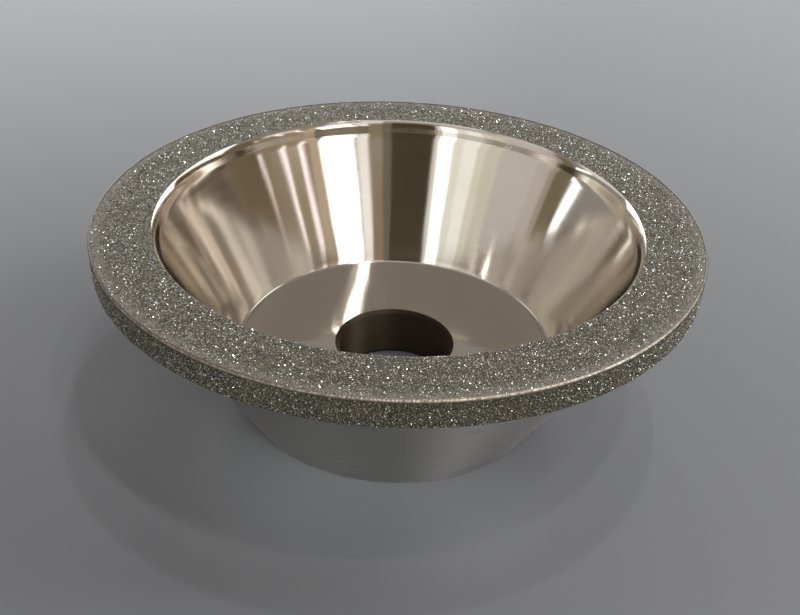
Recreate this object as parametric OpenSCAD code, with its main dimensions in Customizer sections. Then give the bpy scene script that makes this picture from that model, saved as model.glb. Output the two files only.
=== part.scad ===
// Electroplated diamond cup wheel: a turned steel body, a bright nickel lining in the cup, and
// one layer of diamond crystals that nickel holds on the flat face and around the rim.
// The wheel stands on its base. The origin is the centre of the base face, and +Z runs along
// the bore towards the grit face. All sizes are in millimetres.

/* [Wheel] */
// Outside diameter, over the grit
wheel_d = 100; // [96:1:110]
// Height from the base to the grit face
wheel_h = 35; // [33:1:40]
// Bore diameter
bore_d = 20; // [16:1:26]
// Chamfer at both ends of the bore
bore_chamfer = 0.6; // [0.3:0.1:1.2]
// Diameter of the base face
base_d = 54; // [50:1:58]
// Broken edge around the base
base_chamfer = 0.4; // [0.2:0.1:0.8]

/* [Rim] */
// Width of the flat rim face, from the outside inwards
rim_w = 9.75; // [8:0.25:11]
// Height of the rim's side band
rim_h = 4.5; // [3.5:0.5:6]
// How far the rim's underside stands out past the outer cone
rim_overhang = 5.25; // [3:0.25:6]
// Radius in the corner under the rim
underside_fillet = 1; // [0.5:0.1:1.5]

/* [Cup] */
// Thickness of the cup's floor
floor_t = 9.4; // [8:0.2:11]
// Diameter of the cup's floor
floor_d = 55.8; // [50:0.2:57]
// Radius between the cup's floor and its cone
floor_fillet = 0.6; // [0.3:0.1:1.5]
// Height of the steep land between the cone and the rim face
land_h = 2.6; // [1.8:0.1:4]
// Angle of the land from upright
land_lean = 13; // [5:1:20]
// Height over which the land rounds over into the rim face
nose_h = 1.3; // [0.5:0.1:1.4]
// Angle from upright at which that rounding ends
nose_lean = 42; // [30:1:60]
// Thickness of the bright nickel lining
lining_t = 0.1; // [0.05:0.05:0.2]

/* [Grit] */
// Edge length of the coarsest crystals
crystal = 0.2; // [0.16:0.01:0.24]
// Share of a crystal's height that the nickel holds
held_share = 0.6; // [0.5:0.05:0.7]
// Width of the bare nickel bead around the outer corner
bead_w = 0.45; // [0.45:0.05:0.7]
// Number of coarse crystals on the face
face_count = 640; // [40:40:800]
// Number of coarse crystals around the rim
rim_count = 320; // [40:40:480]
// Seed of the crystals' random turns
grit_seed = 7; // [1:1:99]

/* [Hidden] */
$fn = 180;

steel_colour = [0.40, 0.40, 0.38];
nickel_colour = [0.74, 0.68, 0.60];
bond_colour = [0.40, 0.38, 0.34];
bead_colour = [0.66, 0.62, 0.54];
diamond_colour = [0.70, 0.69, 0.58];

wheel_r = wheel_d / 2;
bore_r = bore_d / 2;
base_r = base_d / 2;
floor_r = floor_d / 2;
face_inner_r = wheel_r - rim_w;
cone_top_r = wheel_r - rim_overhang;
rim_z = wheel_h - rim_h;

// A crystal that stands on a corner is this tall, from the steel to its tip
layer_t = crystal * sqrt(3);
bond_t = layer_t * held_share;
// Steel surfaces under the nickel, and the nickel's own surfaces, on the rim and the face
steel_r = wheel_r - layer_t;
steel_z = wheel_h - layer_t;
bond_r = steel_r + bond_t;
bond_z = steel_z + bond_t;

// The land's rounded top, which ends at the inner edge of the rim face
nose_r = nose_h / (sin(nose_lean) - sin(land_lean));
nose_centre = [face_inner_r + nose_r * cos(nose_lean), bond_z - nose_r * sin(nose_lean)];

// The cup's cone starts where the land ends. The cones lean outwards, by these angles from upright.
land_foot_z = wheel_h - land_h;
land_foot_r = nose_centre[0] - nose_r / cos(land_lean) - (nose_centre[1] - land_foot_z) * tan(land_lean);
cup_lean = atan2(land_foot_r - floor_r, land_foot_z - floor_t);
outer_lean = atan2(cone_top_r - base_r, rim_z);

// Straight pieces in each quarter-round of an outline
arc_steps = 6;
// The inner edge of the steel's top, behind the lining
steel_lip = nose_centre + (nose_r - lining_t) * direction(nose_angle(lining_t, steel_z));
// Turn from one crystal to the next, which leaves no rows
golden_turn = 137.508;

function direction(angle) = [cos(angle), sin(angle)];

function arc(centre, radius, from, to) = [
    for (i = [0 : arc_steps]) centre + radius * direction(from + (to - from) * i / arc_steps)
];

function reversed(points) = [for (i = [len(points) - 1 : -1 : 0]) points[i]];

// The cup's surface, from the bore's edge to the top of the steel.
// depth moves it into the metal, as far as the lining is thick.
function cup_outline(depth) =
    let (
        cone_out = direction(-cup_lean),
        land_out = direction(-land_lean),
        mitre = (cone_out + land_out) / (1 + cone_out * land_out),
        fillet_r = floor_r - floor_fillet * (1 - sin(cup_lean)) / cos(cup_lean)
    )
    concat(
        [[bore_r + bore_chamfer, floor_t - depth]],
        arc([fillet_r, floor_t + floor_fillet], floor_fillet + depth, -90, -cup_lean),
        [[land_foot_r, land_foot_z] + depth * mitre],
        arc(nose_centre, nose_r - depth, 180 - land_lean, nose_angle(depth, steel_z))
    );

// Where the land's rounded top passes the height z
function nose_angle(depth, z) = 180 - asin((z - nose_centre[1]) / (nose_r - depth));

// The rounded top above the steel, where the lining meets the nickel of the rim face
function lip_outline(depth) =
    let (
        points = arc(nose_centre, nose_r - depth, nose_angle(depth, steel_z), nose_angle(depth, bond_z))
    )
    [for (i = [1 : arc_steps]) points[i]];

// The round corner between the outer cone and the rim's underside
function underside_outline() =
    let (centre_r = cone_top_r + underside_fillet * (1 - sin(outer_lean)) / cos(outer_lean))
    arc([centre_r, rim_z - underside_fillet], underside_fillet, 180 - outer_lean, 90);

module steel_body() {
    color(steel_colour)
    rotate_extrude()
    polygon(concat(
        [
            [bore_r, bore_chamfer],
            [bore_r + bore_chamfer, 0],
            [base_r - base_chamfer, 0],
            [base_r + base_chamfer * tan(outer_lean), base_chamfer]
        ],
        underside_outline(),
        [
            [steel_r, rim_z],
            [steel_r, steel_z]
        ],
        reversed(cup_outline(lining_t)),
        [[bore_r, floor_t - bore_chamfer]]
    ));
}

module nickel_lining() {
    color(nickel_colour)
    rotate_extrude()
    polygon(concat(
        cup_outline(0),
        lip_outline(0),
        reversed(lip_outline(lining_t)),
        reversed(cup_outline(lining_t))
    ));
}

// The nickel on the flat face, from the lining out to the bead
module face_bond() {
    color(bond_colour)
    rotate_extrude()
    polygon(concat(
        [steel_lip],
        lip_outline(lining_t),
        [
            [wheel_r - bead_w, bond_z],
            [wheel_r - bead_w, steel_z]
        ]
    ));
}

// The nickel around the rim, up to the bead
module rim_bond() {
    color(bond_colour)
    translate([0, 0, rim_z])
    difference() {
        cylinder(h = rim_h - bead_w, r = bond_r);
        translate([0, 0, -rim_h])
        cylinder(h = 3 * rim_h, r = steel_r);
    }
}

// The bare rounded line where the two layers of nickel meet, level with the crystals' tips
module edge_bead() {
    color(bead_colour)
    rotate_extrude()
    polygon(concat(
        arc([wheel_r - bead_w, wheel_h - bead_w], bead_w, 0, 90),
        [
            [wheel_r - bead_w, steel_z],
            [steel_r, steel_z],
            [steel_r, wheel_h - bead_w]
        ]
    ));
}

// One blocky crystal, turned any way up
module diamond(turn) {
    rotate(turn)
    cube(crystal, center = true);
}

// Three random angles for each of a layer's crystals
function random_turns(count, seed) =
    let (angles = rands(0, 360, 3 * count, seed))
    [for (i = [0 : count - 1]) [angles[3 * i], angles[3 * i + 1], angles[3 * i + 2]]];

// Equal steps of area from the face's inner edge outwards, each a golden turn further on
module face_diamonds() {
    inner = lip_outline(lining_t)[arc_steps - 1][0] + layer_t / 2;
    outer = wheel_r - bead_w - layer_t / 2;
    turns = random_turns(face_count, grit_seed);
    color(diamond_colour)
    for (i = [0 : face_count - 1]) {
        share = (i + 0.5) / face_count;
        radius = sqrt(inner * inner + share * (outer * outer - inner * inner));
        rotate([0, 0, i * golden_turn])
        translate([radius, 0, wheel_h - layer_t / 2])
        diamond(turns[i]);
    }
}

// The same spread up the rim
module rim_diamonds() {
    bottom = rim_z + layer_t / 2;
    top = wheel_h - bead_w - layer_t / 2;
    turns = random_turns(rim_count, grit_seed + 1);
    color(diamond_colour)
    for (i = [0 : rim_count - 1]) {
        share = (i + 0.5) / rim_count;
        rotate([0, 0, i * golden_turn])
        translate([wheel_r - layer_t / 2, 0, bottom + share * (top - bottom)])
        diamond(turns[i]);
    }
}

steel_body();
nickel_lining();
face_bond();
edge_bead();
rim_bond();
face_diamonds();
rim_diamonds();
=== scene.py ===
import math

import bpy
import numpy as np
from mathutils import Matrix, Quaternion, Vector


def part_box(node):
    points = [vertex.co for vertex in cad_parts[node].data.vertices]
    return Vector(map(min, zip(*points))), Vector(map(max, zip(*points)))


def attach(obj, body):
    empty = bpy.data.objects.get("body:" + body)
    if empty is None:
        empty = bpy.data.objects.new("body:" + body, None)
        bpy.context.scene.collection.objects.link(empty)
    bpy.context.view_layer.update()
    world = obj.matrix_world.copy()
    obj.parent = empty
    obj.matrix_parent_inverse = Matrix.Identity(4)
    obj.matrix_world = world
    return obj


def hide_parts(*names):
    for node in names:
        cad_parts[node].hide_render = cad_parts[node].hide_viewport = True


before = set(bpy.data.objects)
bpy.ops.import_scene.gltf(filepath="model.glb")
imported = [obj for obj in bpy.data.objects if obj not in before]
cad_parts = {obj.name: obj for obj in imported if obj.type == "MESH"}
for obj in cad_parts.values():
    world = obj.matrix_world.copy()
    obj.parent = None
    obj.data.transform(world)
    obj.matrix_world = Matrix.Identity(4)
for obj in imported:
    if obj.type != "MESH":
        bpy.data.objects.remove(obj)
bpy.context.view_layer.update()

# ---------------------------------------------------------------------------------------
# Sizes, in metres. The frame gives the outer sizes; the rest repeat the CAD source's.
# ---------------------------------------------------------------------------------------
MM = 0.001
TURN = 2 * math.pi

WHEEL_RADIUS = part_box("edge_bead")[1].x
WHEEL_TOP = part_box("edge_bead")[1].z
BEAD = WHEEL_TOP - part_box("rim_bond")[1].z
RIM_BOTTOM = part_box("rim_bond")[0].z
BOND_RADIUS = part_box("rim_bond")[1].x
BOND_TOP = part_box("face_bond")[1].z
STEEL_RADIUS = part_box("steel_body")[1].x
STEEL_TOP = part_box("face_bond")[0].z

FACE_WIDTH = 9.75 * MM
FACE_INNER = WHEEL_RADIUS - FACE_WIDTH
LAND_HEIGHT = 2.6 * MM
LAND_BOTTOM = WHEEL_TOP - LAND_HEIGHT
LAND_LEAN = math.radians(13)
NOSE_LEAN = math.radians(42)
NOSE_RISE = 1.3 * MM
NOSE_RADIUS = NOSE_RISE / (math.sin(NOSE_LEAN) - math.sin(LAND_LEAN))
NOSE_START = (FACE_INNER - NOSE_RADIUS * (math.cos(LAND_LEAN) - math.cos(NOSE_LEAN)), BOND_TOP - NOSE_RISE)
LAND_FOOT = (NOSE_START[0] - (NOSE_START[1] - LAND_BOTTOM) * math.tan(LAND_LEAN), LAND_BOTTOM)
FLOOR_Z = 9.4 * MM
FLOOR_RADIUS = 27.9 * MM
FLOOR_FILLET = 0.6 * MM
BORE_RADIUS = 10 * MM
BORE_CHAMFER = 0.6 * MM
BASE_RADIUS = 27 * MM
BASE_CHAMFER = 0.4 * MM
RIM_OVERHANG = 5.25 * MM
CONE_TOP = WHEEL_RADIUS - RIM_OVERHANG
UNDERSIDE_FILLET = 1 * MM
LINING = 0.1 * MM

# Random draws come from this one generator, in this order, so each run is the same
draw = np.random.default_rng(41)


# ---------------------------------------------------------------------------------------
# Mesh helpers
# ---------------------------------------------------------------------------------------
def mesh_object(name, points, faces, smooth=True, sharp_degrees=28):
    """A new object from points and faces, shaded smooth up to the sharp angle."""
    mesh = bpy.data.meshes.new(name)
    mesh.from_pydata(np.asarray(points, float).tolist(), [], np.asarray(faces).tolist())
    mesh.update()
    if smooth:
        mesh.shade_smooth()
        mesh.set_sharp_from_angle(angle=math.radians(sharp_degrees))
    else:
        mesh.shade_flat()
    made = bpy.data.objects.new(name, mesh)
    bpy.context.scene.collection.objects.link(made)
    return made


def arc(centre, radius, start, stop, steps=8):
    """Points (r, z) of an arc, with its angles in degrees."""
    angles = np.radians(np.linspace(start, stop, steps + 1))
    return [(centre[0] + radius * math.cos(a), centre[1] + radius * math.sin(a)) for a in angles]


def line(start, stop, steps):
    """Points (r, z) along a straight line, without its last point."""
    shares = np.linspace(0, 1, steps + 1)[:-1]
    return [(start[0] + (stop[0] - start[0]) * s, start[1] + (stop[1] - start[1]) * s) for s in shares]


def rounded(outline, radius, steps=3):
    """A closed outline of (r, z) points with each corner over 20 degrees rounded off."""
    points = []
    count = len(outline)
    for i, corner in enumerate(outline):
        here = Vector(corner)
        back = Vector(outline[i - 1]) - here
        ahead = Vector(outline[(i + 1) % count]) - here
        bend = 180 - math.degrees(back.angle(ahead))
        if bend < 20:
            points.append(tuple(here))
            continue
        cut = min(radius * math.tan(math.radians(bend) / 2), back.length * 0.4, ahead.length * 0.4)
        first = here + back.normalized() * cut
        last = here + ahead.normalized() * cut
        for s in np.linspace(0, 1, steps + 1):
            points.append(tuple(first * (1 - s) ** 2 + here * 2 * s * (1 - s) + last * s * s))
    return points


def turned(name, outline, segments, wobble=None):
    """The closed outline of (r, z) points turned about the bore's axis.

    wobble(angle, r, z) gives how far each point moves along the outline's outward normal.
    """
    outline = np.array(outline, float)
    angles = np.linspace(0, TURN, segments, endpoint=False)[:, None]
    radius = np.repeat(outline[None, :, 0], segments, 0)
    height = np.repeat(outline[None, :, 1], segments, 0)
    if wobble is not None:
        along = np.gradient(outline, axis=0)
        along /= np.linalg.norm(along, axis=1, keepdims=True)
        push = wobble(angles, radius, height)
        radius = radius + push * along[:, 1]
        height = height - push * along[:, 0]
    points = np.stack([radius * np.cos(angles), radius * np.sin(angles), height], -1).reshape(-1, 3)
    rows = len(outline)
    i, j = np.meshgrid(np.arange(segments), np.arange(rows), indexing="ij")
    after, above = (i + 1) % segments, (j + 1) % rows
    corners = [i * rows + j, after * rows + j, after * rows + above, i * rows + above]
    return mesh_object(name, points, np.stack(corners, -1).reshape(-1, 4))


# ---------------------------------------------------------------------------------------
# Smooth noise on the wheel, which joins up with itself round the turn
# ---------------------------------------------------------------------------------------
class Ripple:
    """A sum of waves round the wheel and along the outline, with random phases."""

    def __init__(self, waves, around, along):
        self.around = draw.integers(around[0], around[1], waves)
        self.along = draw.uniform(along[0], along[1], waves)
        self.phase = draw.uniform(0, TURN, waves)
        self.size = 1 / math.sqrt(waves)

    def __call__(self, angle, distance):
        total = 0
        for around, along, phase in zip(self.around, self.along, self.phase):
            total = total + np.sin(around * angle + along * distance + phase)
        return total * self.size


# ---------------------------------------------------------------------------------------
# Shader helpers
# ---------------------------------------------------------------------------------------
class Shader:
    """A material with one Principled shader, and short calls to add nodes to it."""

    def __init__(self, name, metallic, roughness, colour):
        self.material = bpy.data.materials.new(name)
        self.material.use_nodes = True
        self.tree = self.material.node_tree
        self.surface = self.tree.nodes["Principled BSDF"]
        self.surface.inputs["Metallic"].default_value = metallic
        self.surface.inputs["Roughness"].default_value = roughness
        self.surface.inputs["Base Color"].default_value = (*colour, 1)

    def add(self, kind, settings=None, **sockets):
        """A new node. A socket's value is a number, a colour or another node's output."""
        made = self.tree.nodes.new("ShaderNode" + kind)
        for key, value in (settings or {}).items():
            setattr(made, key, value)
        for key, value in sockets.items():
            self.put(made, key.replace("_", " "), value)
        return made

    def put(self, made, socket, value):
        """Sets a socket of a node, or links another node's output to it."""
        target = made.inputs[int(socket)] if socket.isdigit() else made.inputs[socket]
        if isinstance(value, bpy.types.NodeSocket):
            self.tree.links.new(value, target)
        else:
            target.default_value = value

    def math(self, operation, first, second=0.0):
        made = self.add("Math", {"operation": operation})
        self.put(made, "0", first)
        self.put(made, "1", second)
        return made.outputs["Value"]

    def position(self):
        """The object's own coordinates, which are the wheel's, in metres."""
        return self.add("TexCoord").outputs["Object"]

    def noise(self, vector, scale, detail=2.0, roughness=0.5):
        made = self.add("TexNoise", Vector=vector, Scale=scale, Detail=detail, Roughness=roughness)
        return made.outputs["Fac"]

    def ramp(self, value, low, high, to_low, to_high):
        """value from low..high mapped to to_low..to_high, held at both ends."""
        made = self.add("MapRange", {"clamp": True})
        for socket, number in zip(("Value", "From Min", "From Max", "To Min", "To Max"),
                                  (value, low, high, to_low, to_high)):
            self.put(made, socket, number)
        return made.outputs["Result"]

    def blend(self, share, first, second):
        """A colour between two colours."""
        made = self.add("Mix", {"data_type": "RGBA"})
        self.put(made, "0", share)
        for socket, colour in ((6, first), (7, second)):
            value = colour if isinstance(colour, bpy.types.NodeSocket) else (*colour, 1)
            self.put(made, str(socket), value)
        return made.outputs[2]

    def round_the_wheel(self, around, along):
        """Coordinates that run slowly round the wheel and fast across it, as turning marks do."""
        parts = self.add("SeparateXYZ", Vector=self.position())
        x, y, z = (parts.outputs[i] for i in range(3))
        radius = self.math("SQRT", self.math("ADD", self.math("MULTIPLY", x, x), self.math("MULTIPLY", y, y)))
        east = self.math("MULTIPLY", self.math("DIVIDE", x, radius), around)
        north = self.math("MULTIPLY", self.math("DIVIDE", y, radius), around)
        across = self.math("MULTIPLY", self.math("ADD", z, self.math("MULTIPLY", radius, 0.7)), along)
        return self.add("CombineXYZ", X=east, Y=north, Z=across).outputs["Vector"], radius, z

    def bump(self, *layers):
        """Bump layers, each (height, distance in metres, strength), the last one on top."""
        normal = None
        for height, distance, strength in layers:
            made = self.add("Bump", Height=height, Distance=distance, Strength=strength)
            if normal is not None:
                self.put(made, "Normal", normal)
            normal = made.outputs["Normal"]
        self.put(self.surface, "Normal", normal)

    def brushed(self, amount, rotation):
        """Highlights that spread across the turning marks."""
        self.surface.inputs["Anisotropic"].default_value = amount
        self.surface.inputs["Anisotropic Rotation"].default_value = rotation
        tangent = self.add("Tangent", {"direction_type": "RADIAL", "axis": "Z"})
        self.put(self.surface, "Tangent", tangent.outputs["Tangent"])


# ---------------------------------------------------------------------------------------
# Materials
# ---------------------------------------------------------------------------------------
def bright_nickel():
    """Plated and polished: a warm tint, fine polishing lines round the cup and faint flutes up it."""
    s = Shader("bright_nickel", metallic=1, roughness=0.11, colour=(0.72, 0.67, 0.60))
    lines, radius, z = s.round_the_wheel(around=1.5, along=9000)
    fine = s.noise(lines, scale=1.0, detail=3)
    up_the_wall, _, _ = s.round_the_wheel(around=16, along=60)
    flutes = s.noise(up_the_wall, scale=1.0, detail=3, roughness=0.6)
    cloud = s.noise(s.position(), scale=90, detail=3)
    tint = s.blend(s.ramp(cloud, 0.35, 0.65, 0, 1), (0.73, 0.68, 0.61), (0.71, 0.66, 0.59))
    s.put(s.surface, "Base Color", tint)
    rough = s.math("ADD", s.ramp(fine, 0.3, 0.7, 0.07, 0.11), s.ramp(cloud, 0.4, 0.7, 0, 0.02))
    s.put(s.surface, "Roughness", rough)
    s.brushed(1.0, 0.25)
    s.bump((flutes, 2e-6, 1), (fine, 2e-6, 1))
    return s.material


def turned_steel():
    """Bare machined steel: satin, with turning marks, a little staining, and painted shade down the bore."""
    s = Shader("turned_steel", metallic=1, roughness=0.36, colour=(0.5, 0.49, 0.46))
    marks, radius, z = s.round_the_wheel(around=0.9, along=5600)
    feed = s.noise(marks, scale=1.0, detail=4, roughness=0.65)
    stain = s.noise(s.position(), scale=70, detail=5, roughness=0.6)
    tone = s.blend(s.ramp(stain, 0.35, 0.7, 0, 1), (0.54, 0.535, 0.508), (0.485, 0.48, 0.453))
    tone = s.blend(s.ramp(feed, 0.3, 0.7, 0, 0.35), tone, (0.37, 0.365, 0.345))
    # Painted shade: the bore and its chamfer are painted near black where shade falls in the hole, and made
    # rougher there
    in_bore = s.ramp(radius, BORE_RADIUS + 0.55 * MM, BORE_RADIUS + 0.75 * MM, 1, 0)
    tone = s.blend(in_bore, tone, (0.062, 0.048, 0.032))
    s.put(s.surface, "Base Color", tone)
    rough = s.math("ADD", s.ramp(feed, 0.25, 0.75, 0.24, 0.34), s.ramp(stain, 0.45, 0.8, 0, 0.05))
    s.put(s.surface, "Roughness", s.math("ADD", rough, s.math("MULTIPLY", in_bore, 0.35)))
    s.brushed(0.9, 0.25)
    s.bump((feed, 6e-6, 0.6))
    return s.material


def bond_nickel():
    """Dull nickel between the crystals, built up in small nodules."""
    s = Shader("bond_nickel", metallic=1, roughness=0.5, colour=(0.3, 0.285, 0.255))
    nodules = s.add("TexVoronoi", {"feature": "SMOOTH_F1"}, Vector=s.position(), Scale=5200, Smoothness=0.6)
    patch = s.noise(s.position(), scale=430, detail=4)
    tone = s.blend(s.ramp(patch, 0.35, 0.65, 0, 1), (0.164, 0.15, 0.117), (0.114, 0.104, 0.078))
    _, radius, z = s.round_the_wheel(around=1, along=1)
    on_face = s.ramp(z, WHEEL_TOP - 0.45 * MM, WHEEL_TOP - 0.3 * MM, 0, 1)
    outer = s.math("MULTIPLY", on_face, s.ramp(radius, WHEEL_RADIUS - 3 * MM, WHEEL_RADIUS - 0.6 * MM, 0, 1))
    tone = s.blend(outer, tone, (0.25, 0.222, 0.19))
    s.put(s.surface, "Base Color", tone)
    s.put(s.surface, "Roughness", s.ramp(nodules.outputs["Distance"], 0, 0.8, 0.38, 0.62))
    s.bump((nodules.outputs["Distance"], 30e-6, 0.7))
    return s.material


def bead_nickel():
    """The bare corner: a painted highlight along its middle in brighter and duller patches, darker to either
    side, and a little lumpy.
    """
    s = Shader("bead_nickel", metallic=1, roughness=0.24, colour=(0.74, 0.69, 0.6))
    lump = s.noise(s.position(), scale=2600, detail=3)
    patch = s.noise(s.position(), scale=1700, detail=3)
    tone = s.blend(s.ramp(patch, 0.38, 0.6, 0, 1), (0.46, 0.405, 0.345), (0.2, 0.178, 0.15))
    _, radius, z = s.round_the_wheel(around=1, along=1)
    # corner masks a painted highlight: a thin bright line along the bead's apex, with the rest of the bead
    # painted darker
    corner = s.math("MULTIPLY", s.ramp(radius, WHEEL_RADIUS - 0.3 * MM, WHEEL_RADIUS - 0.2 * MM, 0, 1),
                    s.ramp(z, WHEEL_TOP - 0.3 * MM, WHEEL_TOP - 0.2 * MM, 0, 1))
    tone = s.blend(corner, (0.19, 0.168, 0.14), tone)
    s.put(s.surface, "Base Color", tone)
    s.put(s.surface, "Roughness", s.ramp(lump, 0.3, 0.7, 0.36, 0.58))
    s.bump((lump, 25e-6, 1))
    return s.material


DIAMOND_IOR = 2.42


def diamond(dark, pale):
    """Blocky synthetic crystals: bright facets over a grey-green body, each a little different."""
    s = Shader("diamond_grit", metallic=0, roughness=0.12, colour=dark)
    tone = s.add("Attribute", {"attribute_name": "tone"}).outputs["Fac"]
    s.put(s.surface, "Base Color", s.blend(tone, dark, pale))
    s.put(s.surface, "Roughness", s.ramp(tone, 0, 1, 0.06, 0.22))
    s.surface.inputs["IOR"].default_value = DIAMOND_IOR
    frost = s.noise(s.position(), scale=9000, detail=2)
    s.bump((frost, 4e-6, 0.35))
    return s.material


# ---------------------------------------------------------------------------------------
# The turned body
# ---------------------------------------------------------------------------------------
def corner_centre(edge, lean_rise, radius, sign):
    """Where a corner radius between a leaning line and a level line has its centre, in r."""
    return edge + sign * radius * (1 - math.sin(lean_rise)) / math.cos(lean_rise)


OUTER_LEAN = math.atan2(CONE_TOP - BASE_RADIUS, RIM_BOTTOM)
CUP_LEAN = math.atan2(LAND_FOOT[0] - FLOOR_RADIUS, LAND_FOOT[1] - FLOOR_Z)


def land_outline(steps=12):
    """The land from its foot: a steep cone, then rounding over to meet the grit."""
    centre = (NOSE_START[0] + NOSE_RADIUS * math.cos(LAND_LEAN),
              NOSE_START[1] - NOSE_RADIUS * math.sin(LAND_LEAN))
    nose = arc(centre, NOSE_RADIUS, 180 - math.degrees(LAND_LEAN), 180 - math.degrees(NOSE_LEAN), steps)
    return line(LAND_FOOT, NOSE_START, 5) + nose


def cup_outline(depth, steps):
    """The cup's surface from the bore to the top of the land, moved into the metal by depth."""
    centre = (corner_centre(FLOOR_RADIUS, CUP_LEAN, FLOOR_FILLET, -1), FLOOR_Z + FLOOR_FILLET)
    fillet = arc(centre, FLOOR_FILLET + depth, -90, -math.degrees(CUP_LEAN), 6)
    land = [(r + depth, z - depth * 0.3) for r, z in land_outline()]
    return (line((BORE_RADIUS + BORE_CHAMFER, FLOOR_Z - depth), fillet[0], steps) + fillet[:-1]
            + line(fillet[-1], land[0], steps) + land)


def build_steel_body():
    """One closed turned piece, with its corners broken as a lathe leaves them."""
    centre = (corner_centre(CONE_TOP, OUTER_LEAN, UNDERSIDE_FILLET, 1), RIM_BOTTOM - UNDERSIDE_FILLET)
    fillet = arc(centre, UNDERSIDE_FILLET, 180 - math.degrees(OUTER_LEAN), 90)
    base_edge = (BASE_RADIUS + BASE_CHAMFER * math.tan(OUTER_LEAN), BASE_CHAMFER)
    base = [(BORE_RADIUS, BORE_CHAMFER), (BORE_RADIUS + BORE_CHAMFER, 0), (BASE_RADIUS - BASE_CHAMFER, 0),
            base_edge]
    rim = [(STEEL_RADIUS, RIM_BOTTOM), (STEEL_RADIUS, STEEL_TOP), (FACE_INNER + LINING, STEEL_TOP)]
    cup = [(NOSE_START[0] + LINING, NOSE_START[1]), (LAND_FOOT[0] + LINING, LAND_FOOT[1]),
           (FLOOR_RADIUS, FLOOR_Z - LINING), (BORE_RADIUS + BORE_CHAMFER, FLOOR_Z - LINING),
           (BORE_RADIUS, FLOOR_Z - BORE_CHAMFER)]
    outline = base + fillet + rim + cup
    body = turned("turned_body", rounded(outline, 0.08 * MM), segments=512)
    body.data.materials.append(turned_steel())
    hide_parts("steel_body")
    return body


def build_lining():
    """The bright skin in the cup, with the slow waviness that polishing leaves."""
    waves = Ripple(14, around=(3, 75), along=(0, 400))

    def wobble(angle, radius, height):
        inside = np.clip((radius - BORE_RADIUS - 2 * MM) / (4 * MM), 0, 1)
        return 0.0011 * MM * inside * waves(angle, radius + height)

    face = cup_outline(0, 26)
    back = cup_outline(LINING * 0.9, 4)[::-1]
    lining = turned("bright_cup_lining", face + back, segments=840, wobble=wobble)
    lining.data.materials.append(bright_nickel())
    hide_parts("nickel_lining")
    return lining


# ---------------------------------------------------------------------------------------
# The nickel that holds the crystals
# ---------------------------------------------------------------------------------------
BOND_LUMPS = 0.02 * MM
BEAD_LUMPS = 0.022 * MM
EDGE_RISE = 0.055 * MM


def sunk(ripple, depth):
    """A wobble that only goes into the outline, by up to two depths."""
    def wobble(angle, radius, height):
        return -depth * (1 + ripple(angle, radius + height)).clip(0, 2)
    return wobble


def build_up(radius):
    """How much higher the nickel stands near the wheel's edge, where plating grows thickest."""
    share = np.clip((radius - (WHEEL_RADIUS - 3 * MM)) / (2.2 * MM), 0, 1)
    return EDGE_RISE * share * share * (3 - 2 * share)


def build_bonds():
    """Two layers of dull nickel, lumpy where it has grown up round the crystals."""
    lumps = [Ripple(14, around=(300, 1100), along=(-22000, 22000)) for _ in range(2)]
    skin = bond_nickel()
    top = [(r, BOND_TOP + build_up(r)) for r, z in line((WHEEL_RADIUS - BEAD, 0), (FACE_INNER, 0), 44)]
    face = [(WHEEL_RADIUS - BEAD, STEEL_TOP)] + top + [(FACE_INNER, BOND_TOP), (FACE_INNER, STEEL_TOP)]
    side = line((BOND_RADIUS, RIM_BOTTOM), (BOND_RADIUS, WHEEL_TOP - BEAD), 20)
    rim = ([(STEEL_RADIUS, RIM_BOTTOM)] + side
           + [(BOND_RADIUS, WHEEL_TOP - BEAD), (STEEL_RADIUS, WHEEL_TOP - BEAD)])
    for name, outline, node, ripple in (("face_nickel", face, "face_bond", lumps[0]),
                                        ("rim_nickel", rim, "rim_bond", lumps[1])):
        made = turned(name, outline, segments=1400, wobble=sunk(ripple, BOND_LUMPS))
        made.data.materials.append(skin)
        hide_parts(node)
        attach(made, "root")


def build_bead():
    """The bare rounded corner between the two layers."""
    lumps = Ripple(12, around=(300, 1150), along=(-3000, 3000))
    corner = arc((WHEEL_RADIUS - BEAD, WHEEL_TOP - BEAD), BEAD, 0, 90, 8)
    inside = [(WHEEL_RADIUS - BEAD, STEEL_TOP), (STEEL_RADIUS, STEEL_TOP), (STEEL_RADIUS, WHEEL_TOP - BEAD)]
    bead = turned("corner_bead", corner + inside, segments=2400, wobble=sunk(lumps, BEAD_LUMPS))
    bead.data.materials.append(bead_nickel())
    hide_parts("edge_bead")
    return bead


# ---------------------------------------------------------------------------------------
# Crystals
# ---------------------------------------------------------------------------------------
OCTAHEDRON = (np.array([(1, 0, 0), (-1, 0, 0), (0, 1, 0), (0, -1, 0), (0, 0, 1), (0, 0, -1)], float),
              [(0, 2, 4), (2, 1, 4), (1, 3, 4), (3, 0, 4), (2, 0, 5), (1, 2, 5), (3, 1, 5), (0, 3, 5)])
BLOCK = (np.array([(x, y, z) for x in (-1, 1) for y in (-1, 1) for z in (-1, 1)], float) * 0.62,
         [(0, 1, 3, 2), (4, 6, 7, 5), (0, 4, 5, 1), (2, 3, 7, 6), (0, 2, 6, 4), (1, 5, 7, 3)])


def random_rotations(count):
    """Random turns as 3 by 3 matrices, from random unit quaternions."""
    q = draw.normal(size=(count, 4))
    w, x, y, z = (q / np.linalg.norm(q, axis=1, keepdims=True)).T
    rows = [1 - 2 * (y * y + z * z), 2 * (x * y - z * w), 2 * (x * z + y * w),
            2 * (x * y + z * w), 1 - 2 * (x * x + z * z), 2 * (y * z - x * w),
            2 * (x * z - y * w), 2 * (y * z + x * w), 1 - 2 * (x * x + y * y)]
    return np.stack(rows, -1).reshape(-1, 3, 3)


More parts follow.
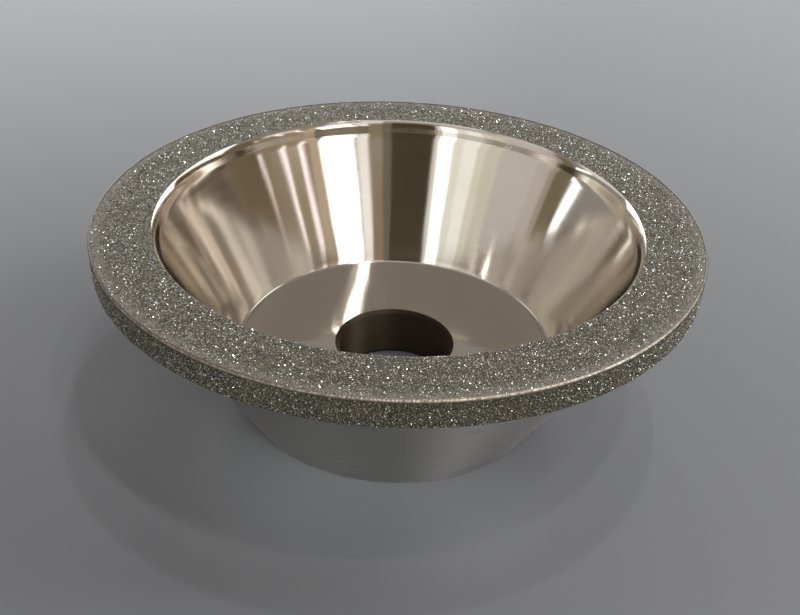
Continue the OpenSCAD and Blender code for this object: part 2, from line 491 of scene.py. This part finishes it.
def crystals(name, shape, centres, size, limit, material):
    """One object of many separate crystals.

    centres are their middles, size is their mean reach, and limit(points) keeps their tips
    inside the wheel's outline.
    """
    corners, faces = shape
    count = len(centres)
    reach = size * draw.lognormal(0, 0.22, (count, 1, 1)) * draw.uniform(0.72, 1.15, (count, 1, 3))
    points = (corners[None] * reach) @ random_rotations(count)
    points = limit(points + centres[:, None])
    offsets = np.arange(count)[:, None, None] * len(corners)
    faces_of_all = (np.array(faces)[None] + offsets).reshape(-1, len(faces[0]))
    made = mesh_object(name, points.reshape(-1, 3), faces_of_all, smooth=False)
    tone = draw.beta(0.8, 1.6, count)
    attribute = made.data.attributes.new("tone", "FLOAT", "FACE")
    attribute.data.foreach_set("value", np.repeat(tone, len(faces)).astype(np.float32))
    made.data.materials.append(material)
    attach(made, "root")
    return made


GOLDEN_TURN = math.radians(137.50776)


def spread(count, first, last):
    """Angles and even shares, which fill a band with no rows; the callers nudge each place a little."""
    k = np.arange(first, count, last) + 0.5
    return k * GOLDEN_TURN, k / count


def face_places(count, first, step, height):
    """Middles of crystals on the face, evenly over its area."""
    angle, share = spread(count, first, step)
    inner, outer = FACE_INNER + 0.1 * MM, WHEEL_RADIUS - BEAD - 0.06 * MM
    radius = np.sqrt(inner ** 2 + share * (outer ** 2 - inner ** 2))
    radius = np.clip(radius + draw.normal(0, 0.09 * MM, len(angle)), inner, outer)
    angle = angle + draw.normal(0, 0.09 * MM, len(angle)) / radius
    level = height + draw.normal(0, 0.02 * MM, len(angle))
    return np.stack([radius * np.cos(angle), radius * np.sin(angle), level], -1)


def rim_places(count, first, step, depth):
    """Middles of crystals round the rim, evenly over its height."""
    angle, share = spread(count, first, step)
    low, high = RIM_BOTTOM + 0.08 * MM, WHEEL_TOP - BEAD - 0.05 * MM
    level = np.clip(low + share * (high - low) + draw.normal(0, 0.09 * MM, len(angle)), low, high)
    angle = angle + draw.normal(0, 0.09 * MM, len(angle)) / WHEEL_RADIUS
    radius = depth + draw.normal(0, 0.02 * MM, len(angle))
    return np.stack([radius * np.cos(angle), radius * np.sin(angle), level], -1)


def below_face(points):
    points[..., 2] = np.minimum(points[..., 2], WHEEL_TOP)
    return points


def inside_rim(points):
    radius = np.linalg.norm(points[..., :2], axis=-1, keepdims=True)
    points[..., :2] *= np.minimum(1, WHEEL_RADIUS / radius)
    return points


CRYSTAL_REACH = 0.115 * MM
FACE_CRYSTALS = 45000
RIM_CRYSTALS = 24000


def build_grit():
    """The single layer of crystals: octahedra and blocks, in groups of a size that exports whole."""
    grit = diamond(dark=(0.04, 0.037, 0.026), pale=(0.35, 0.327, 0.24))
    level = BOND_TOP - 0.015 * MM
    for part, shape, first in (("a", OCTAHEDRON, 0), ("b", BLOCK, 1), ("c", OCTAHEDRON, 2)):
        places = face_places(FACE_CRYSTALS, first, 3, level)
        crystals("face_grit_" + part, shape, places, CRYSTAL_REACH, below_face, grit)
    depth = BOND_RADIUS - 0.015 * MM
    for part, shape, first in (("a", OCTAHEDRON, 0), ("b", BLOCK, 1)):
        places = rim_places(RIM_CRYSTALS, first, 2, depth)
        crystals("rim_grit_" + part, shape, places, CRYSTAL_REACH, inside_rim, grit)
    return grit


# ---------------------------------------------------------------------------------------
# The wheel
# ---------------------------------------------------------------------------------------
steel_body, lining, bead = build_steel_body(), build_lining(), build_bead()
for piece in (steel_body, lining, bead):
    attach(piece, "root")
build_bonds()
grit_material = build_grit()
for node in ("face_diamonds", "rim_diamonds"):
    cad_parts[node].data.materials.clear()
    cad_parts[node].data.materials.append(grit_material)


# ---------------------------------------------------------------------------------------
# Studio
# ---------------------------------------------------------------------------------------
def build_floor():
    """A pale seamless sheet with a slight sheen, far larger than the wheel."""
    reach = 2.6
    bpy.ops.mesh.primitive_grid_add(x_subdivisions=8, y_subdivisions=8, size=2 * reach)
    floor = bpy.context.object
    floor.name = "floor"
    s = Shader("floor_sheet", metallic=0, roughness=0.42, colour=(0.134, 0.136, 0.144))
    floor.data.materials.append(s.material)
    return floor


def towards(azimuth, elevation, distance):
    """A place round the wheel. Azimuth 0 is the camera's side, and it grows towards +X."""
    a, e = math.radians(azimuth), math.radians(elevation)
    return Vector((math.sin(a) * math.cos(e), -math.cos(a) * math.cos(e), math.sin(e))) * distance


# How far most of the panels stand from the wheel, in metres
STAND = 1.6


def upright(azimuths, elevations, distance):
    """Middle, width and height of an upright panel that spans these angles from the wheel."""
    middle = sum(azimuths) / 2
    half = math.radians(abs(azimuths[1] - azimuths[0]) / 2)
    low, high = (distance * math.tan(math.radians(e)) for e in elevations)
    place = towards(middle, 0, distance)
    place.z = (low + high) / 2
    return place, 2 * distance * math.tan(half), high - low


def face_wheel(thing, place):
    """Puts a panel at its place, upright, with its front to the wheel."""
    thing.location = place
    flat = Vector((-place.x, -place.y, 0))
    thing.rotation_mode = "QUATERNION"
    thing.rotation_quaternion = flat.to_track_quat("-Z", "Y")


def softbox(name, azimuths, elevations, radiance, colour=(1, 1, 1), distance=STAND, lean=0):
    """An upright softbox. radiance is how much its front adds to what is behind it.

    lean tilts it in its own plane, in degrees, with its top moving away from the camera's side.
    """
    place, width, height = upright(azimuths, elevations, distance)
    light = bpy.data.lights.new(name, "AREA")
    light.shape = "RECTANGLE"
    light.size = width
    light.size_y = height
    light.energy = radiance * math.pi * width * height
    light.color = colour
    made = bpy.data.objects.new(name, light)
    bpy.context.scene.collection.objects.link(made)
    face_wheel(made, place)
    outward = math.copysign(lean, -sum(azimuths))
    made.rotation_quaternion = made.rotation_quaternion @ Quaternion((0, 0, 1), math.radians(outward))
    made.visible_camera = False
    return made


def card(name, azimuths, elevations, glow, distance=STAND):
    """An upright dim card, which shows only in reflections and keeps light off what is behind it."""
    place, width, height = upright(azimuths, elevations, distance)
    bpy.ops.mesh.primitive_grid_add(x_subdivisions=2, y_subdivisions=2, size=1)
    made = bpy.context.object
    made.name = name
    made.scale = (width, height, 1)
    face_wheel(made, place)
    # The card's colour is a dim glow that it gives off: painted light, seen only in reflections
    s = Shader(name + "_dim_glow", 0, 0.9, (0, 0, 0))
    s.surface.inputs["Specular IOR Level"].default_value = 0
    s.surface.inputs["Emission Color"].default_value = (*glow, 1)
    s.surface.inputs["Emission Strength"].default_value = 1
    made.data.materials.append(s.material)
    made.visible_camera = False


def lamp(name, place, size, radiance, colour=(1, 1, 1), glossy=True, aim=Vector((0, 0, 0))):
    """A rectangular softbox anywhere, with its front to the wheel or to aim.

    A lamp that is not glossy lights matt surfaces only.
    """
    light = bpy.data.lights.new(name, "AREA")
    light.shape = "RECTANGLE"
    light.size, light.size_y = size
    light.energy = radiance * math.pi * size[0] * size[1]
    light.color = colour
    made = bpy.data.objects.new(name, light)
    bpy.context.scene.collection.objects.link(made)
    made.location = place
    made.rotation_mode = "QUATERNION"
    made.rotation_quaternion = (aim - place).to_track_quat("-Z", "Y")
    made.visible_camera = False
    made.visible_glossy = glossy
    return made


def link_light(light, thing, state):
    """Lights one object only (state INCLUDE), or all but that one (state EXCLUDE).

    Shadows stay as they are.
    """
    linked = bpy.data.collections.new(light.name + "_link")
    linked.objects.link(thing)
    linked.collection_objects[0].light_linking.link_state = state
    light.light_linking.receiver_collection = linked


WARM_WHITE = (1, 0.98, 0.97)
COOL_WHITE = (0.92, 0.88, 1)


def build_key():
    """The main softbox, its wing and four narrow strips, which the cup's walls mirror.

    The polished lining has a weaker one of its own. All the rest has the strong one.
    """
    band = (17, 33)
    softbox("key", (26, 45), band, 2.6, distance=0.9, lean=17)
    key_outside = softbox("key_outside", (26, 45), band, 12.5, distance=0.9, lean=17)
    link_light(key_outside, lining, "EXCLUDE")
    softbox("key_wing", (18, 24.4), band, 0.95, (1, 0.98, 0.98), lean=12)
    softbox("strip_a", (55.2, 58.4), band, 1.5, COOL_WHITE, lean=27)
    softbox("strip_b", (66.3, 69), band, 1.6, COOL_WHITE, lean=29)
    softbox("strip_c", (78.8, 80.6), (18.5, 25), 1.4, (0.95, 0.92, 1), lean=31)
    softbox("strip_left", (-101.6, -96.8), (4, 24), 2.3, (0.95, 1, 0.98), lean=42)


def build_fill():
    """A curtain of soft panels on the left, which fades away from the camera's side."""
    low = (4, 34)
    softbox("fill_edge", (-27.5, -19.7), low, 2)
    softbox("fill_hem", (-19.7, -17.2), low, 0.6, (1, 0.95, 0.9))
    softbox("fill_fold", (-33, -27.5), low, 0.72, (0.96, 1, 0.9))
    softbox("fill_near", (-41, -33), low, 0.88, (0.96, 1, 0.96))
    softbox("fill_middle", (-46, -41), low, 0.57, (0.98, 1, 0.82))
    softbox("fill_soft", (-54, -46), low, 0.45, (1, 0.98, 0.8))
    softbox("fill_far", (-75, -54), low, 0.34, (1, 0.94, 0.91))
    softbox("fill_end", (-82.5, -75), low, 0.3, (1, 0.87, 0.85))
    softbox("fill_tail", (-86, -82.5), low, 0.12, (1, 0.7, 0.5))


def build_cards():
    """Dim brown cards between the softboxes, which give the cup its dark stretches."""
    tall = (2, 34)
    card("camera_card", (-17, 7), (6, 46), (0.068, 0.052, 0.031), distance=0.27)
    card("under_key", (18, 45.5), (0, 16), (0.16, 0.12, 0.075))
    card("front_card", (7, 11), tall, (0.18, 0.145, 0.1))
    card("front_spill", (11, 18), tall, (0.29, 0.235, 0.16))
    card("left_card", (-94.8, -86), tall, (0.205, 0.175, 0.11))
    card("key_spill", (45.5, 51.5), tall, (0.6, 0.49, 0.36))
    card("right_gap", (51.5, 66), tall, (0.36, 0.275, 0.185))
    card("right_near_card", (66, 80), tall, (0.31, 0.24, 0.17))
    card("right_card", (80, 98), tall, (0.18, 0.138, 0.087))
    card("right_far_card", (98, 134), tall, (0.1, 0.068, 0.04))


def build_high_panels():
    """Soft panels above the rest, mirrored twice low in the cup, and two for its lining alone."""
    softbox("high_left", (-90, -55), (34, 50), 0.4, WARM_WHITE)
    softbox("high_front_left", (-55, -20), (34, 60), 0.25, WARM_WHITE)
    softbox("high_front", (-20, 12), (46, 60), 0.25, WARM_WHITE)
    softbox("high_right", (12, 26), (35, 55), 0.65, WARM_WHITE)
    softbox("high_key", (26, 44), (36, 43.4), 1, WARM_WHITE)
    softbox("high_right_far", (57, 78), (27.5, 35.5), 0.85, WARM_WHITE, distance=1.4)
    for name, azimuths, radiance in (("land_right", (100, 140), 1.7), ("land_left", (-138, -106), 0.6)):
        band_light = softbox(name, azimuths, (20, 42), radiance, (1, 0.98, 0.96), distance=1.4)
        link_light(band_light, lining, "INCLUDE")


def build_overhead():
    """A soft panel over the camera, and three small lamps that draw the wedge on the cup's floor."""
    lamp("overhead_front", towards(0, 66, STAND), (1.6, 0.35), 0.4)
    lamp("ceiling_a", towards(119, 80, 0.9), (0.035, 0.035), 290)
    lamp("ceiling_b", towards(45, 72, STAND), (0.06, 0.06), 320)
    lamp("ceiling_c", towards(47, 63, STAND), (0.06, 0.06), 200)


def build_outside_lights(floor):
    """A lamp that the lining doesn't see, a spot on the floor alone, and two panels at the back."""
    right_side = lamp("right_side", Vector((0.3, 0.02, 0.3)), (0.15, 0.15), 13, (0.97, 0.98, 1))
    link_light(right_side, lining, "EXCLUDE")
    under_rim = Vector((-0.002, -0.026, 0))
    spot = lamp("under_rim", under_rim + towards(6, 38, 0.22), (0.045, 0.012), 1.7, (0.98, 1, 0.97),
                glossy=False, aim=under_rim)
    spot.data.spread = math.radians(9)
    link_light(spot, floor, "INCLUDE")
    softbox("back_left", (-185, -135), (3, 22), 3.4, (0.93, 0.96, 1))
    softbox("back_right", (135, 175), (3, 22), 2.4, (0.93, 0.96, 1))


def build_world():
    """An even warm grey room behind the panels."""
    world = bpy.data.worlds.new("studio")
    bpy.context.scene.world = world
    world.use_nodes = True
    background = world.node_tree.nodes["Background"]
    background.inputs["Color"].default_value = (0.30, 0.285, 0.268, 1)
    background.inputs["Strength"].default_value = 1


def build_camera():
    """The camera looks down into the cup from the front, a little below the middle."""
    camera = bpy.data.objects.new("camera", bpy.data.cameras.new("camera"))
    bpy.context.scene.collection.objects.link(camera)
    distance, elevation = 170.9 * MM, math.radians(27.7)
    yaw, pitch, roll = (math.radians(a) for a in (-0.23, -5.19, -2.49))
    forward = Vector((0, math.cos(elevation), -math.sin(elevation)))
    camera_place = Vector((0, 0, WHEEL_TOP)) - forward * distance
    right = Vector((1, 0, 0))
    up = right.cross(forward)
    forward = Matrix.Rotation(yaw, 3, up) @ forward
    right = Matrix.Rotation(yaw, 3, up) @ right
    forward = Matrix.Rotation(pitch, 3, right) @ forward
    up = Matrix.Rotation(pitch, 3, right) @ up
    right = Matrix.Rotation(roll, 3, forward) @ right
    up = Matrix.Rotation(roll, 3, forward) @ up
    turn = Matrix((right, up, -forward)).transposed()
    camera.matrix_world = Matrix.Translation(camera_place) @ turn.to_4x4()
    camera.data.sensor_width = 36
    camera.data.lens = 46.2
    camera.data.clip_start = 0.005
    camera.data.clip_end = 20
    bpy.context.scene.camera = camera


floor_sheet = build_floor()
build_key()
build_fill()
build_cards()
build_high_panels()
build_overhead()
build_outside_lights(floor_sheet)
build_world()
build_camera()
bpy.context.scene.view_settings.view_transform = "Standard"
